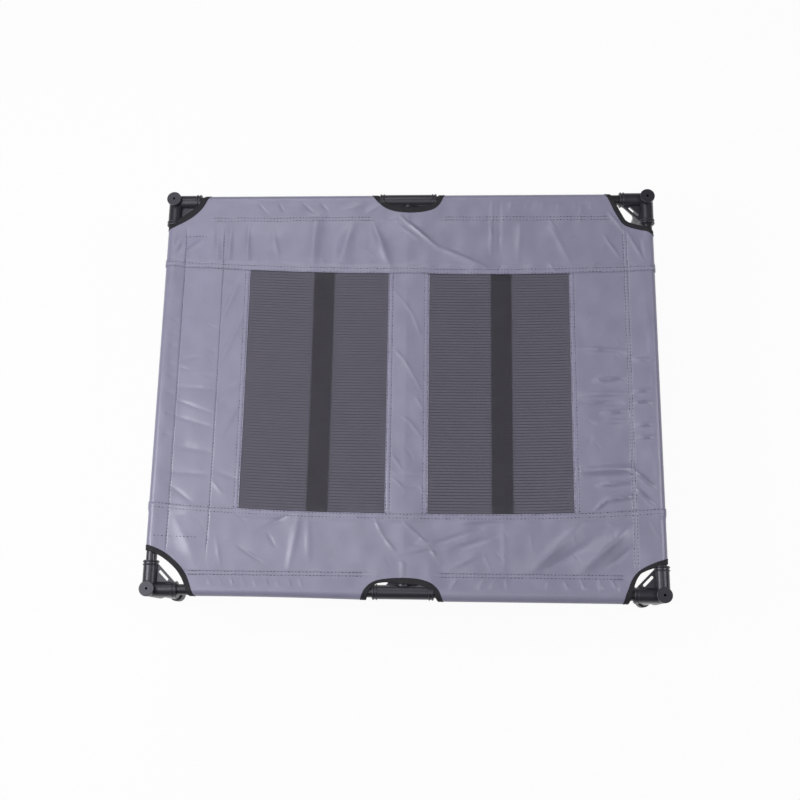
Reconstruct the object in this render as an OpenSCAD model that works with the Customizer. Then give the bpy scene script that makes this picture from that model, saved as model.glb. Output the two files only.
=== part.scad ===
// Raised dog cot: a knock-down tube frame on four push-in legs, with a sewn cover
// stretched over it. Millimetres. The origin is on the floor under the middle of the
// cot, +X runs along the long side, +Y to the rear and +Z up.

/* [Frame] */
// Distance between the axes of the two short side rails
frame_length = 890; // [800:2:1200]
// Distance between the axes of the two long rails
frame_width = 730; // [600:2:900]
// Height of the corner caps above the floor
cot_height = 228; // [190:1:300]

/* [Tubes] */
// Outer diameter of every tube
tube_d = 19; // [17:0.5:21]
// Wall of every tube
tube_wall = 1.2; // [0.8:0.1:2]
// Radial clearance of a tube in its socket
socket_fit = 0.1; // [0.05:0.01:0.1]

/* [Corner connectors] */
// Wall of a corner socket
socket_wall = 3.4; // [2.6:0.1:4.4]
// Reach of a rail socket from the corner axis
socket_reach = 50; // [46:1:54]
// Reach of the leg socket below the rail axis
leg_socket_reach = 74; // [50:1:90]
// Rise of the cap above the rail axis
cap_rise = 20; // [18:0.5:26]
// Thickness of the cap over the leg
cap_thickness = 5; // [3:0.5:6]
// Overhang of the cap past the column under it
cap_overhang = 0.5; // [0.2:0.1:1.4]
// Rounding of the cap's edge
cap_round = 1.2; // [0.5:0.1:2.5]
// Diameter of the vent hole in the cap
cap_hole_d = 4.5; // [2:0.5:8]
// Plastic left between a socket's floor and the bore that crosses its line
socket_floor = 4; // [3:0.5:6]
// Distance from the corner axis to where the gusset's slanted edge meets a socket
gusset_leg = 44; // [34:1:45]
// Thickness of the gussets
gusset_thickness = 5; // [3:0.5:8]
// Overall length of the slot in a corner gusset
slot_length = 24; // [12:1:30]
// Width of the slot in a corner gusset
slot_width = 5; // [3:0.5:6]
// Distance of the slot's middle line from the slanted edge
slot_inset = 6.5; // [5:0.5:8]

/* [Mouth beads] */
// Radius of a raised bead round a socket
bead_radius = 1.5; // [0.8:0.1:2]
// Distance from a socket's mouth to its first bead
bead_inset = 2.2; // [2:0.1:4]
// Distance between the two beads at a mouth
bead_pitch = 5.5; // [4:0.1:8]

/* [Tee connectors] */
// Length of a tee along the long rail
tee_length = 107; // [90:1:112]
// Wall of a tee
tee_wall = 2.6; // [2:0.1:3.4]
// Wall between the two half rails in a tee
tee_stop = 4; // [2:0.5:8]
// Reach of the tee's branch from the rail axis
branch_reach = 50; // [40:1:70]
// Leg of the gusset on each side of the branch
tee_gusset = 18; // [8:1:20]

/* [Legs and feet] */
// Gap over the top of a pushed-in leg
leg_seat_gap = 0.3; // [0.1:0.1:1]
// Wall of a foot cap round the leg
foot_wall = 2.9; // [2:0.1:5]
// Height of a foot cap
foot_height = 26; // [16:1:40]
// Thickness of a foot cap under the leg
foot_base = 4; // [3:0.5:8]
// Rounding of a foot cap's edges
foot_round = 1.4; // [0.6:0.1:1.8]

/* [Cover] */
// Clearance between a rail and the cloth round it
sleeve_gap = 0.3; // [0.3:0.1:1]
// Thickness of the cloth
cloth_thickness = 1; // [0.6:0.1:1.6]
// Drop of the flat cloth below its crown over the rails
crown_drop = 0.5; // [0.3:0.1:0.5]
// Width of the front and rear bands, from the rail axis to the seam
band_width = 144; // [120:1:180]
// Width of the end panels, from the rail axis to the mesh
end_panel_width = 149; // [126:1:180]
// Width of the panel between the two meshes
centre_panel_width = 76; // [50:1:120]
// Distance from the front rail's axis to the first stitch row of its sleeve
front_hem = 27; // [24:1:38]
// Distance from the rear rail's axis to the first stitch row of its sleeve
rear_hem = 36; // [24:1:38]
// Distance from the right rail's axis to the first stitch row of its sleeve
right_hem = 41; // [24:1:60]
// Cloth sewn flat past the first stitch row
hem_seam = 6; // [4:0.5:10]
// Clearance between a tee's branch and the cloth over it
branch_clearance = 0.3; // [0.2:0.1:1]

/* [Closure] */
// Distance from the left rail's axis to the closure tapes
closure_start = 26; // [22:1:40]
// Width of the closure tapes
closure_width = 74; // [40:1:80]
// Distance of the closure tapes' ends from the long rails' axes
closure_inset = 83; // [78:1:120]
// Thickness of each closure tape
closure_tape_thickness = 1.2; // [0.8:0.1:1.6]

/* [Cut-outs] */
// Where a corner cut-out's cloth edge meets a rail axis
corner_cut = 70; // [66:1:76]
// Radius of a corner cut-out
corner_cut_radius = 120; // [100:1:180]
// Width of the binding on a corner cut-out
corner_binding_width = 8; // [4:0.5:9]
// Radius of a grip cut-out's shoulders
grip_cut_radius = 45; // [42:1:52]
// Half the flat stretch between a grip cut-out's shoulders
grip_cut_flat = 27; // [25:1:40]
// Distance of a grip cut-out's middle line outside the rail axis
grip_cut_offset = 19; // [16:1:21]
// Width of the binding on a grip cut-out
grip_binding_width = 6.5; // [3:0.5:7]
// Thickness of the bindings
binding_thickness = 1.8; // [1.7:0.1:2.4]

/* [Mesh and straps] */
// Thickness of the mesh
mesh_thickness = 0.8; // [0.5:0.1:1.4]
// Rows of gaps in a mesh panel
mesh_rows = 75; // [20:1:75]
// Columns of gaps in a mesh panel
mesh_columns = 2; // [1:1:2]
// Width of a mesh rib
mesh_rib = 2.6; // [1:0.1:3.6]
// Plain edge round a mesh panel
mesh_edge = 5; // [3:0.5:12]
// Width of a strap
strap_width = 38; // [20:1:60]
// Thickness of a strap
strap_thickness = 1.4; // [0.8:0.1:3]
// How far the left strap lies to the right of its mesh's middle
left_strap_shift = 13; // [-30:1:30]
// How far the right strap lies to the right of its mesh's middle
right_strap_shift = 7; // [-30:1:30]

/* [Hidden] */
$fn = 64;

left = -1;
right = 1;
front = -1;
rear = 1;

plastic_colour = [0.20, 0.20, 0.22];
tube_colour = [0.24, 0.24, 0.26];
cloth_colour = [0.57, 0.56, 0.64];
mesh_colour = [0.38, 0.37, 0.40];
webbing_colour = [0.22, 0.22, 0.23];
binding_colour = [0.17, 0.17, 0.19];

rail_z = cot_height - cap_rise;
half_length = frame_length / 2;
half_width = frame_width / 2;
cut_past = 1;
// A size larger than the whole cover
past_cover = 4 * frame_length;

tube_r = tube_d / 2;
bore_r = tube_r + socket_fit;
socket_r = bore_r + socket_wall;
tee_r = bore_r + tee_wall;
foot_r = bore_r + foot_wall;
// Where a tube ends in its socket, measured from the axis of the bore that crosses it
tube_stop = bore_r + socket_floor;
leg_top = rail_z + cap_rise - cap_thickness - leg_seat_gap;

sleeve_r = tube_r + sleeve_gap;
// Underside of the flat cloth, above the rail axis
cloth_low = sleeve_r - crown_drop;
// The branch and its beads pass under the cloth
crossbar_drop = tee_r + bead_radius + branch_clearance - cloth_low;
crossbar_z = rail_z - crossbar_drop;

seam_y = half_width - band_width;
mesh_inner_x = centre_panel_width / 2;
mesh_outer_x = half_length - end_panel_width;
mesh_width = mesh_outer_x - mesh_inner_x;
mesh_depth = 2 * seam_y;
mesh_middle_x = (mesh_inner_x + mesh_outer_x) / 2;

grip_free_radius = grip_cut_radius - grip_binding_width;
// A corner cut-out's centre lies this far outside both rail axes
corner_cut_centre = (sqrt(2 * pow(corner_cut_radius, 2) - pow(corner_cut, 2)) - corner_cut) / 2;
// The sleeves begin inside the cut-outs, which trim them
sleeve_start = corner_cut - corner_binding_width - sleeve_r;
grip_sleeve_start = grip_cut_flat + grip_free_radius - sleeve_r;
// The flat cloth begins past the rail's crown, in the flat stretch of the sleeves
flat_start = sleeve_r;
closure_mouth = 2 * closure_tape_thickness;

// Where the lower tangent from a point touches a circle about the rail axis
function tangent_foot(point, radius) =
    let (lean = atan2(point.y, point.x))
    let (opening = acos(radius / norm(point)))
    radius * [cos(lean - opening), sin(lean - opening)];

// Puts a shape at a corner, with +X and +Y pointing into the cot
module at_corner(side, end) {
    translate([side * half_length, end * half_width, rail_z])
        mirror([side > 0 ? 1 : 0, 0, 0])
            mirror([0, end > 0 ? 1 : 0, 0])
                children();
}

// Puts a shape at the middle of a long rail, with +Y pointing into the cot
module at_grip(end) {
    translate([0, end * half_width, rail_z])
        mirror([0, end > 0 ? 1 : 0, 0])
            children();
}

// Turns a shape that stands along +Z so that it lies along +X or +Y
module along_x() {
    rotate([0, 90, 0]) children();
}

module along_y() {
    rotate([-90, 0, 0]) children();
}

// A tube along +Z
module tube(length) {
    difference() {
        cylinder(r = tube_r, h = length);
        translate([0, 0, -cut_past])
            cylinder(r = tube_r - tube_wall, h = length + 2 * cut_past);
    }
}

// The pair of beads at a socket mouth, for a socket along +Z
module mouth_beads(radius, mouth) {
    for (row = [0, 1])
        translate([0, 0, mouth - bead_inset - row * bead_pitch])
            rotate_extrude() translate([radius, 0]) circle(bead_radius);
}

// The outside of a socket along +Z
module socket_body(radius, reach) {
    cylinder(r = radius, h = reach);
    mouth_beads(radius, reach);
}

// The bore of a socket along +Z
module socket_bore(floor_height, reach) {
    translate([0, 0, floor_height])
        cylinder(r = bore_r, h = reach - floor_height + cut_past);
}

// The round column that takes the leg, from its mouth up to the cap
module leg_column() {
    cap_r = socket_r + cap_overhang;
    translate([0, 0, -leg_socket_reach])
        cylinder(r = socket_r, h = leg_socket_reach + cap_rise - cap_thickness / 2);
    translate([0, 0, cap_rise - cap_thickness])
        rotate_extrude() {
            square([cap_r - cap_round, cap_thickness]);
            square([cap_r, cap_thickness - cap_round]);
            translate([cap_r - cap_round, cap_thickness - cap_round]) circle(cap_round);
        }
}

// The slotted web between the two rail sockets
module corner_gusset() {
    slot_middle = (gusset_leg + socket_r) / sqrt(2) - slot_inset;
    slot_half = (slot_length - slot_width) / 2;
    translate([0, 0, -gusset_thickness / 2])
        linear_extrude(gusset_thickness)
            difference() {
                polygon([[0, 0], [gusset_leg, 0], [gusset_leg, socket_r],
                    [socket_r, gusset_leg], [0, gusset_leg]]);
                rotate(45) translate([slot_middle, 0]) {
                    square([slot_width, 2 * slot_half], center = true);
                    for (end = [-1, 1])
                        translate([0, end * slot_half]) circle(slot_width / 2);
                }
            }
}

module corner_connector(side, end) {
    color(plastic_colour) at_corner(side, end) difference() {
        union() {
            leg_column();
            along_x() socket_body(socket_r, socket_reach);
            along_y() socket_body(socket_r, socket_reach);
            corner_gusset();
        }
        along_x() socket_bore(tube_stop, socket_reach);
        along_y() socket_bore(tube_stop, socket_reach);
        translate([0, 0, -leg_socket_reach - cut_past])
            cylinder(r = bore_r, h = leg_socket_reach + cap_rise - cap_thickness + cut_past);
        cylinder(d = cap_hole_d, h = cap_rise + cut_past);
    }
}

// A straight sleeve for the two half rails, with a lower branch for the crossbar
module tee_connector(end) {
    web = tee_r + tee_gusset;
    color(plastic_colour) at_grip(end) difference() {
        union() {
            for (side = [left, right])
                mirror([side < 0 ? 1 : 0, 0, 0]) along_x() socket_body(tee_r, tee_length / 2);
            translate([0, 0, -crossbar_drop]) {
                along_y() socket_body(tee_r, branch_reach);
                translate([0, 0, -gusset_thickness / 2])
                    linear_extrude(gusset_thickness)
                        polygon([[-web, 0], [web, 0], [web, tee_r],
                            [tee_r, web], [-tee_r, web], [-web, tee_r]]);
            }
        }
        for (side = [left, right])
            mirror([side < 0 ? 1 : 0, 0, 0]) along_x() socket_bore(tee_stop / 2, tee_length / 2);
        translate([0, 0, -crossbar_drop]) along_y() socket_bore(tube_stop, branch_reach);
    }
}

module half_rail(side, end) {
    length = half_length - tube_stop - tee_stop / 2;
    color(tube_colour) at_grip(end)
        mirror([side < 0 ? 1 : 0, 0, 0])
            translate([tee_stop / 2, 0, 0]) along_x() tube(length);
}

// A tube across the cot, between the sockets of the two long sides
module cross_tube(x, z) {
    color(tube_colour) translate([x, -half_width + tube_stop, z])
        along_y() tube(frame_width - 2 * tube_stop);
}

module leg(side, end) {
    color(tube_colour) translate([side * half_length, end * half_width, foot_base])
        tube(leg_top - foot_base);
}

module foot(side, end) {
    color(plastic_colour) translate([side * half_length, end * half_width, 0]) difference() {
        rotate_extrude() {
            square([foot_r - foot_round, foot_height]);
            translate([0, foot_round]) square([foot_r, foot_height - 2 * foot_round]);
            for (level = [foot_round, foot_height - foot_round])
                translate([foot_r - foot_round, level]) circle(foot_round);
        }
        translate([0, 0, foot_base]) cylinder(r = bore_r, h = foot_height);
    }
}

// Section of a cloth sleeve round a rail: X points into the cot from the rail axis.
// The cloth comes over the rail, returns below and is sewn flat from depth to depth + seam.
// A mouth above zero keeps the two layers apart there, for closure tapes.
module sleeve_section(depth, seam, mouth, cloth) {
    end = depth + seam;
    under = cloth_low - mouth;
    open_end = end + cut_past;
    open_mouth = [[open_end, cloth_low], [open_end, under], [depth, under]];
    inner_end = mouth > 0 ? open_mouth : [[depth, cloth_low]];
    difference() {
        union() {
            circle(sleeve_r + cloth);
            polygon([[0, 0], [0, cloth_low + cloth], [end, cloth_low + cloth], [end, under - cloth],
                [depth, under - cloth], tangent_foot([depth, under - cloth], cloth_low + cloth)]);
        }
        circle(sleeve_r);
        polygon(concat([[0, 0], [0, cloth_low]], inner_end, [tangent_foot([depth, under], cloth_low)]));
    }
}

// The sleeve of a long rail on one side of the tee, with +Y pointing into the cot
module long_sleeve(side, depth, cloth) {
    length = half_length - sleeve_start - grip_sleeve_start;
    translate([side > 0 ? grip_sleeve_start : -grip_sleeve_start - length, 0, 0])
        rotate([90, 0, 90]) linear_extrude(length) sleeve_section(depth, hem_seam, 0, cloth);
}

// A length of a short rail's sleeve. The left one is held by closure tapes, the right one is sewn.
module short_sleeve(side, from, to, cloth) {
    translate([side * half_length, to, 0]) rotate([90, 0, 0]) linear_extrude(to - from)
        if (side < 0)
            sleeve_section(closure_start, closure_width, closure_mouth, cloth);
        else
            mirror([1, 0]) sleeve_section(right_hem, hem_seam, 0, cloth);
}

// A flat stretch of the cover
module flat_cloth(x_from, x_to, y_from, y_to, cloth) {
    translate([x_from, y_from, cloth_low]) cube([x_to - x_from, y_to - y_from, cloth]);
}

// Upright outlines that trim a band, with +Y pointing into the cot from the rail axis
module corner_outline(side, radius) {
    translate([side * (half_length + corner_cut_centre), -corner_cut_centre]) circle(radius);
}

module grip_outline(radius) {
    translate([0, -grip_cut_offset]) {
        for (side = [left, right]) translate([side * grip_cut_flat, 0]) circle(radius);
        square([2 * grip_cut_flat, 2 * radius], center = true);
    }
}

module upright() {
    translate([0, 0, -cot_height]) linear_extrude(2 * cot_height) children();
}

function long_hem(end) = end > 0 ? rear_hem : front_hem;

// A band along a long rail, folded round that rail and round the ends of the short rails
module band(end) {
    reach = half_length - flat_start;
    color(cloth_colour) at_grip(end) difference() {
        union() {
            flat_cloth(-reach, reach, flat_start, band_width, cloth_thickness);
            for (side = [left, right]) {
                long_sleeve(side, long_hem(end), cloth_thickness);
                short_sleeve(side, sleeve_start, band_width, cloth_thickness);
            }
        }
        upright() {
            for (side = [left, right]) corner_outline(side, corner_cut_radius);
            grip_outline(grip_cut_radius);
        }
    }
}

module end_panel(side) {
    outer = half_length - flat_start;
    color(cloth_colour) translate([0, 0, rail_z]) {
        flat_cloth(side > 0 ? mesh_outer_x : -outer, side > 0 ? outer : -mesh_outer_x,
            -seam_y, seam_y, cloth_thickness);
        short_sleeve(side, -seam_y, seam_y, cloth_thickness);
    }
}

module centre_panel() {
    color(cloth_colour) translate([-mesh_inner_x, -seam_y, rail_z + cloth_low])
        cube([centre_panel_width, mesh_depth, cloth_thickness]);
}

// A ribbed mesh panel between the centre panel and an end panel
module mesh_panel(side) {
    row_pitch = (mesh_depth - 2 * mesh_edge + mesh_rib) / mesh_rows;
    column_pitch = (mesh_width - 2 * mesh_edge + mesh_rib) / mesh_columns;
    color(mesh_colour)
        translate([side > 0 ? mesh_inner_x : -mesh_outer_x, -seam_y, rail_z + cloth_low])
            linear_extrude(mesh_thickness) difference() {
                square([mesh_width, mesh_depth]);
                for (row = [0 : mesh_rows - 1], column = [0 : mesh_columns - 1])
                    translate([mesh_edge + column * column_pitch, mesh_edge + row * row_pitch])
                        square([column_pitch - mesh_rib, row_pitch - mesh_rib]);
            }
}

// A strap under a mesh, sewn to both long sleeves
module strap(side) {
    strap_x = side * mesh_middle_x + (side < 0 ? left_strap_shift : right_strap_shift);
    strap_from = -half_width + front_hem + hem_seam;
    strap_to = half_width - rear_hem - hem_seam;
    color(webbing_colour)
        translate([strap_x - strap_width / 2, strap_from, rail_z + cloth_low - strap_thickness])
            cube([strap_width, strap_to - strap_from, strap_thickness]);
}

// A tape of the hook and loop closure that shuts the left sleeve, counted down from the cloth
module closure_tape(layer) {
    color(webbing_colour)
        translate([-half_length + closure_start, -half_width + closure_inset,
            rail_z + cloth_low - (layer + 1) * closure_tape_thickness])
            cube([closure_width, frame_width - 2 * closure_inset, closure_tape_thickness]);
}

// The folded tape along a corner cut-out, over the flat cloth and both sleeves
module corner_binding(side, end) {
    flat_to = half_length - flat_start;
    flat_from = half_length - corner_cut_radius;
    color(binding_colour) at_grip(end) difference() {
        union() {
            flat_cloth(side > 0 ? flat_from : -flat_to, side > 0 ? flat_to : -flat_from,
                flat_start, corner_cut_radius, binding_thickness);
            long_sleeve(side, long_hem(end), binding_thickness);
            short_sleeve(side, sleeve_start, corner_cut_radius, binding_thickness);
        }
        upright() difference() {
            square(past_cover, center = true);
            corner_outline(side, corner_cut_radius);
        }
        upright() corner_outline(side, corner_cut_radius - corner_binding_width);
    }
}

// The folded tape along a grip cut-out, over the flat cloth and both sleeves
module grip_binding(end) {
    reach = grip_cut_flat + grip_cut_radius;
    color(binding_colour) at_grip(end) difference() {
        union() {
            flat_cloth(-reach, reach, flat_start, grip_cut_radius, binding_thickness);
            for (side = [left, right]) long_sleeve(side, long_hem(end), binding_thickness);
        }
        upright() difference() {
            square(past_cover, center = true);
            grip_outline(grip_cut_radius);
        }
        upright() grip_outline(grip_free_radius);
    }
}

corner_connector(left, front);  // corner_front_left
corner_connector(right, front);  // corner_front_right
corner_connector(left, rear);  // corner_rear_left
corner_connector(right, rear);  // corner_rear_right
tee_connector(front);  // tee_front
tee_connector(rear);  // tee_rear
half_rail(left, front);  // front_rail_left
half_rail(right, front);  // front_rail_right
half_rail(left, rear);  // rear_rail_left
half_rail(right, rear);  // rear_rail_right
cross_tube(-half_length, rail_z);  // left_rail
cross_tube(half_length, rail_z);  // right_rail
cross_tube(0, crossbar_z);  // centre_crossbar
leg(left, front);  // leg_front_left
leg(right, front);  // leg_front_right
leg(left, rear);  // leg_rear_left
leg(right, rear);  // leg_rear_right
foot(left, front);  // foot_front_left
foot(right, front);  // foot_front_right
foot(left, rear);  // foot_rear_left
foot(right, rear);  // foot_rear_right
band(front);  // front_band
band(rear);  // rear_band
end_panel(left);  // left_end_panel
end_panel(right);  // right_end_panel
centre_panel();
mesh_panel(left);  // left_mesh
mesh_panel(right);  // right_mesh
strap(left);  // left_strap
strap(right);  // right_strap
closure_tape(0);  // loop_tape
closure_tape(1);  // hook_tape
corner_binding(left, front);  // binding_front_left
corner_binding(right, front);  // binding_front_right
corner_binding(left, rear);  // binding_rear_left
corner_binding(right, rear);  // binding_rear_right
grip_binding(front);  // grip_binding_front
grip_binding(rear);  // grip_binding_rear
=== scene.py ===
import math

import bpy
import numpy as np
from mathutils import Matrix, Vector, kdtree
from mathutils.geometry import delaunay_2d_cdt


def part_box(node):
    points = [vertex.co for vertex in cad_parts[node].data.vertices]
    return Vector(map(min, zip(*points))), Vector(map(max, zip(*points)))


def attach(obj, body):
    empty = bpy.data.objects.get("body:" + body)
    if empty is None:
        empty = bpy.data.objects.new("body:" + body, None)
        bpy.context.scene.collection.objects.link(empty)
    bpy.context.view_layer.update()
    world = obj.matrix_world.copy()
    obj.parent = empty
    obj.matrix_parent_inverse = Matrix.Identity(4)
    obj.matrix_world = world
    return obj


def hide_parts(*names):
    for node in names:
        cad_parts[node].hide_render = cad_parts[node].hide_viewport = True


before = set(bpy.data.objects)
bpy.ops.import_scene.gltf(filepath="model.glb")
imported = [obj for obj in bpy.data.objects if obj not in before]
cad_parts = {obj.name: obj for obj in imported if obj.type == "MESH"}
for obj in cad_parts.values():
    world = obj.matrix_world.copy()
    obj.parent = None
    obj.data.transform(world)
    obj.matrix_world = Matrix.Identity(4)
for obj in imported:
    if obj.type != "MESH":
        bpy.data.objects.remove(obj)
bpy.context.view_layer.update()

mm = 0.001

# Sizes of the frame, in millimetres


def nodeBox(name):
    low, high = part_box(name)
    return np.array(low) / mm, np.array(high) / mm


railLow, railHigh = nodeBox("rear_rail_left")
tubeR = (railHigh[2] - railLow[2]) / 2
railZ = (railHigh[2] + railLow[2]) / 2
halfWidth = (railHigh[1] + railLow[1]) / 2
halfLength = sum(box[0] for box in nodeBox("right_rail")) / 2
barZ = sum(box[2] for box in nodeBox("centre_crossbar")) / 2
seamY = nodeBox("centre_panel")[1][1]
meshInner = nodeBox("right_mesh")[0][0]
meshOuter = nodeBox("right_mesh")[1][0]
outward = {"left": -1, "right": 1, "front": -1, "rear": 1}     # which way each side lies
print("frame:", round(2 * halfLength), "x", round(2 * halfWidth), "mm between rail axes")

# The cover: one plane of cloth that goes round the rails.
# u and v are places on the cut cloth, s is a distance into the cot from a rail's axis.

cover = {
    "cloth": 0.8,       # thickness of the cloth
    "slack": 0.6,       # room between a rail and its sleeve
    "lap": 10,          # how far a panel or mesh runs under the cloth sewn on it
    "lapLift": 1.4,     # a band lies this much higher over the panels
    "lapRun": 9,        # and comes down over this length
    "sag": 10,          # how far the middle of a bay hangs
    "sagPower": 0.8,    # less than 1 hangs fuller by the long rails
    "barSag": 0.33,     # share of the sag over the crossbar
    "loose": 4.2,       # the front sleeve stands off its rail this much at the right
    "looseFrom": -280,  # it starts here along the rail
    "looseRun": 360,    # and grows over this length
}
sleeves = {
    "front": {"hem": 27, "tail": 6, "drop": 0.9},
    "rear": {"hem": 36, "tail": 6, "drop": 0.9},
    "right": {"hem": 41, "tail": 6, "drop": 0.9},
    "left": {"hem": 26, "tail": 74, "drop": 3.2},     # room for the closure tapes
}
wrapR = tubeR + cover["slack"] + cover["cloth"] / 2
flatZ = railZ + wrapR


def smooth(share):
    share = np.clip(share, 0, 1)
    return share * share * (3 - 2 * share)


def sleeveSizes(hem, tail, drop):
    end = np.array([hem, wrapR - drop])
    reach = math.hypot(*end)
    footAngle = math.atan2(end[1], end[0]) - math.acos(wrapR / reach)
    foot = wrapR * np.array([math.cos(footAngle), math.sin(footAngle)])
    arc = wrapR * (1.5 * math.pi + footAngle)
    run = math.sqrt(reach ** 2 - wrapR ** 2)
    return end, foot, arc, run


def sleeveLength(side):
    end, foot, arc, run = sleeveSizes(**sleeves[side])
    return arc + run + sleeves[side]["tail"]


# Round a rail from its crown: outside, below, and back in to the hem
def wrapRound(past, side):
    end, foot, arc, run = sleeveSizes(**sleeves[side])
    angle = np.minimum(past, arc) / wrapR
    inward, rise = -wrapR * np.sin(angle), wrapR * np.cos(angle)
    normalIn, normalUp = -np.sin(angle), np.cos(angle)
    onRun = np.clip((past - arc) / run, 0, 1)
    below = past > arc
    tail = np.maximum(past - arc - run, 0)
    inward = np.where(below, foot[0] + (end[0] - foot[0]) * onRun + tail, inward)
    rise = np.where(below, foot[1] + (end[1] - foot[1]) * onRun, rise)
    normalIn = np.where(tail > 0, 0, normalIn)
    normalUp = np.where(tail > 0, -1, normalUp)
    return inward, rise, onRun, normalIn, normalUp


# The seams bow a little, as they were sewn and pulled
bow = {
    "rear": lambda t: -3.6 - 5.8 * t + 9.5 * t ** 2,
    "front": lambda t: -8.1 - 2.4 * t + 15.1 * np.abs(t) ** 2.5,
    "side": 3.5,        # the meshes lie this much to the right
    "fadeTo": 300,      # and past this the cloth is straight
}


def drift(u, v):
    t = np.clip(u / halfLength, -1, 1)
    fade = smooth((bow["fadeTo"] - np.abs(v)) / (bow["fadeTo"] - seamY))
    share = np.clip((v + seamY) / (2 * seamY), 0, 1)
    along = bow["front"](t) * (1 - share) + bow["rear"](t) * share
    return bow["side"] * (1 - t * t) * fade, along * fade


# Folds that stay in the cloth: from x, y to x, y, then half width and height
folds = [
    # rear band, left of the grip
    (-335, 318, -335, 240, 7, 0.8), (-302, 318, -300, 240, 7, 0.8), (-258, 315, -242, 250, 8, 0.7),
    (-174, 322, -178, 238, 15, 2.1), (-104, 318, -126, 240, 15, 2), (-66, 318, -33, 232, 11, 1.8),
    (-200, 358, -175, 336, 4, -0.7), (-165, 358, -150, 340, 4, -0.6), (-130, 340, -80, 356, 4.5, 0.6),
    (-80, 336, -58, 350, 4, 0.7), (-285, 358, -265, 336, 4, -0.5), (-245, 358, -235, 340, 4, -0.5),
    # rear band, right of the grip
    (-15, 330, 55, 270, 6, 1.6), (55, 270, 145, 230, 7, 1.4), (-25, 318, 20, 285, 6, 0.8),
    (158, 360, 155, 256, 4, 0.8), (172, 360, 170, 262, 4, -0.5), (325, 360, 320, 320, 5, 0.6),
    (210, 316, 205, 240, 8, 0.6), (265, 315, 300, 240, 9, 0.7), (375, 335, 400, 300, 5, 1.0),
    (365, 290, 390, 250, 5, 0.9), (405, 300, 435, 240, 5, 0.9), (428, 285, 436, 240, 5, -0.6),
    # rear band, left end
    (-438, 262, -430, 285, 4, 0.7), (-420, 260, -380, 290, 7, 0.7), (-400, 240, -352, 230, 7, -0.5),
    (-362, 315, -356, 240, 6, 0.7),
    # left end panel, between the closure's rows
    (-415, 135, -395, 135, 4, -0.7), (-415, 50, -380, 58, 5, -0.8), (-420, 0, -350, -5, 5, -1.0),
    (-420, -25, -350, -50, 5, -1.0), (-420, -55, -350, -75, 6, -1.1), (-415, -110, -350, -120, 9, -1.3),
    (-420, -157, -355, -162, 8, -1.3), (-420, -182, -380, -210, 7, -1.0), (-395, 215, -375, 165, 7, -0.7),
    (-369, 118, -352, 112, 4, -0.6), (-361, 68, -349, 66, 4, -0.6), (-418, 37, -400, 32, 4, -0.6),
    (-371, 22, -349, 21, 4, -0.6),
    # left end panel, beside the mesh
    (-345, 125, -315, 200, 9, 1.2), (-345, 40, -305, 135, 9, 1.2), (-345, -30, -300, 10, 9, 1.1),
    (-335, -95, -305, -35, 9, 1.1), (-340, -155, -300, -170, 7, -0.9), (-345, -172, -325, -195, 6, 0.8),
    # right end panel
    (313, 74, 393, 68, 7, 1.6), (340, 13, 391, 19, 6, 1.8), (316, -12, 390, -10, 7, 1.6),
    (316, -27, 390, -29, 6, -1.4), (350, -48, 395, -42, 6, 1.5), (335, -64, 395, -60, 6, 1.2),
    (305, -151, 400, -147, 11, 3), (340, -176, 402, -170, 6, 1.8), (333, -220, 355, -202, 5, 1.4),
    (352, -203, 400, -195, 7, 1.8), (405, -150, 437, -181, 6, 1.8), (405, -180, 436, -212, 5, 1.4),
    (408, 51, 438, 52, 6, 1.5), (407, -6, 436, -5, 6, 1.6), (408, -27, 437, -27, 5, 1.5),
    (410, -68, 437, -67, 6, 1.6), (411, -91, 438, -90, 6, 1.6),
    # centre panel
    (-26, 186, -7, 164, 4, 0.5), (-7, 164, 10, 141, 4, 0.6), (10, 141, 27, 97, 4, 0.5),
    (-24, 74, -4, 52, 5, 0.7), (-4, 52, 11, 27, 5, 0.8), (11, 27, 28, -5, 4, 0.6),
    (19, -19, 32, -41, 4, 0.5), (-7, -53, 9, -64, 4, 0.5), (9, -64, 27, -89, 4, 0.5),
    (-21, -126, -6, -149, 4, 0.6), (-20, -167, -2, -183, 4, 0.6), (-2, -161, 33, -161, 4, -0.5),
    (-2, -181, 33, -181, 4, -0.5),
    # front band, left of the grip
    (-415, -225, -365, -315, 13, 0.9), (-330, -275, -320, -325, 5, 0.7), (-290, -290, -250, -315, 5, -1.4),
    (-260, -265, -200, -230, 5, -1.0), (-300, -230, -280, -245, 4, -0.8), (-200, -325, -185, -235, 10, 1.3),
    (-165, -315, -170, -235, 9, 0.8), (-240, -265, -225, -290, 5, -0.7),
    # front band, by the grip
    (0, -245, 40, -280, 4.5, 1.0), (40, -280, 65, -315, 4.5, 0.9), (45, -285, 135, -255, 8, -1.1),
    (0, -305, 65, -290, 7, -0.9), (-50, -240, -35, -270, 5, 0.8), (-35, -270, -15, -295, 5, 0.8),
    # front band, right of the grip
    (226, -322, 305, -248, 14, 2.3), (255, -322, 345, -262, 12, -1.6), (60, -250, 170, -235, 10, 1),
    (310, -322, 397, -244, 14, 2.3), (175, -240, 175, -335, 7, 0.4), (350, -322, 395, -285, 8, -1.1),
    (85, -292, 160, -268, 9, -1.3), (85, -322, 130, -300, 8, 1),
    # across the front sleeve, right of the grip
    (81, -360, 93, -344, 4, 0.8), (130, -360, 140, -344, 4, 0.8), (150, -360, 160, -345, 4, 0.7),
    (179, -362, 179, -341, 4, 1.0), (247, -360, 251, -346, 4, 0.6), (285, -360, 278, -345, 4, 0.8),
    (312, -360, 307, -343, 4, 0.8), (339, -361, 338, -340, 5, 1.0), (368, -360, 358, -340, 5, 1.0),
]
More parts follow.
